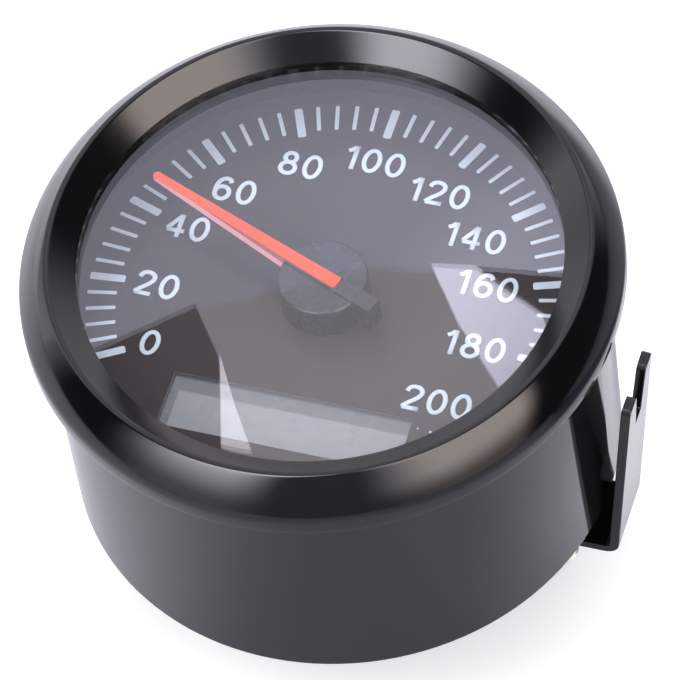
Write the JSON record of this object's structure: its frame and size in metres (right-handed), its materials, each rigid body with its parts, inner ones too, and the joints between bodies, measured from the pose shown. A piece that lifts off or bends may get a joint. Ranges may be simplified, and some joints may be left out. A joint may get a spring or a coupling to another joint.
{
  "type": "panel speedometer",
  "caption": "Round panel speedometer with a pointer over a printed scale, a display window, a black bezel and case, and a U-shaped clamp bracket on two rear studs.",
  "frame": {"origin": "on the gauge's axis, in the plane where the bezel's underside seats on the panel", "axes": "+Z out of the dial towards the viewer, +Y to the top of the dial, +X to its right"},
  "size_m": [0.0962, 0.0908, 0.07],
  "materials": {
    "bezel_black": "gloss black plating on steel",
    "bracket_black": "satin black paint on steel",
    "case_black": "gloss black moulding",
    "ring_black": "gloss black moulding",
    "clear_glass": "polished flat glass",
    "seal_rubber": "matt",
    "seal_red": "matt",
    "dial_charcoal": "matt print",
    "scale_ink": "blue-white screen print",
    "clear_acrylic": "clear",
    "white_moulding": "matt",
    "cream_moulding": "matt",
    "display_grey": "gloss",
    "board_green": "solder mask",
    "chip_black": "matt",
    "can_blue": "sleeved",
    "tinned_metal": "tinned",
    "brass_metal": "turned",
    "copper_wire": "enamelled",
    "magnet_grey": "sintered",
    "steel_bright": "ground",
    "zinc_steel": "zinc plated",
    "cap_grey": "satin",
    "foil_orange": "hot-stamped foil"
  },
  "bodies": {
    "gauge": {"bezel": "bezel_black", "lens": "clear_glass", "lens_seal": "seal_rubber", "inner_ring": "ring_black", "case": "case_black", "dial_face": "dial_charcoal", "light_guide": "clear_acrylic", "light_housing": "white_moulding", "backlight_lamps": "cream_moulding", "display_glass": "display_grey", "display_light_box": "white_moulding", "display_pins": "tinned_metal", "main_board": "board_green", "processor": "chip_black", "crystal": "tinned_metal", "small_chips": "chip_black", "board_link": "chip_black", "power_board": "board_green", "capacitors": "can_blue", "regulator": "chip_black", "spacers": "brass_metal", "board_screws": "steel_bright", "motor_housing": "cream_moulding", "motor_cover": "cream_moulding", "motor_stator": "steel_bright", "motor_coils": "copper_wire", "motor_pins": "tinned_metal", "socket_shell": "chip_black", "socket_seal": "seal_red", "socket_pins": "brass_metal", "studs": "zinc_steel"},
    "rotor": {"rotor_pinion": "cream_moulding", "rotor_magnet": "magnet_grey"},
    "idler": {"idler_gear": "cream_moulding"},
    "pointer": {"output_wheel": "cream_moulding", "pointer_shaft": "steel_bright", "pointer_cap": "cap_grey", "pointer_needle": "clear_acrylic", "pointer_foil": "foil_orange"},
    "clamp": {"bracket": "bracket_black", "washers": "steel_bright", "lock_washers": "steel_bright"},
    "right_nut": {"nut_right": "zinc_steel"},
    "left_nut": {"nut_left": "zinc_steel"}
  },
  "joints": [
    {"name": "pointer_turn", "type": "hinge", "parent": "gauge", "child": "pointer", "pos_m": [0, 0, 0], "axis": [0, 0, 1], "range_deg": [-188.4, 51.6]},
    {"name": "idler_turn", "type": "hinge", "parent": "gauge", "child": "idler", "pos_m": [-0.006, 0.00671, -0.02], "axis": [0, 0, 1], "range_deg": [-258, 942]},
    {"name": "rotor_turn", "type": "hinge", "parent": "gauge", "child": "rotor", "pos_m": [0, 0.01121, -0.02], "axis": [0, 0, 1], "range_deg": [-3768, 1032]},
    {"name": "bracket_slide", "type": "slide", "parent": "gauge", "child": "clamp", "axis": [0, 0, 1], "range_m": [-0.006, 0.007]},
    {"name": "right_nut_turn", "type": "hinge", "parent": "clamp", "child": "right_nut", "pos_m": [0.0335, 0, -0.0533], "axis": [0, 0, 1], "range_deg": [-3090, 3610]},
    {"name": "left_nut_turn", "type": "hinge", "parent": "clamp", "child": "left_nut", "pos_m": [-0.0335, 0, -0.0533], "axis": [0, 0, 1], "range_deg": [-3090, 3610]}
  ],
  "couplings": [
    {"joint": "idler_turn", "follows": "pointer_turn", "ratio": -5},
    {"joint": "rotor_turn", "follows": "pointer_turn", "ratio": 20},
    {"joint": "right_nut_turn", "follows": "bracket_slide", "rad_per_m": 8976},
    {"joint": "left_nut_turn", "follows": "bracket_slide", "rad_per_m": 8976}
  ]
}
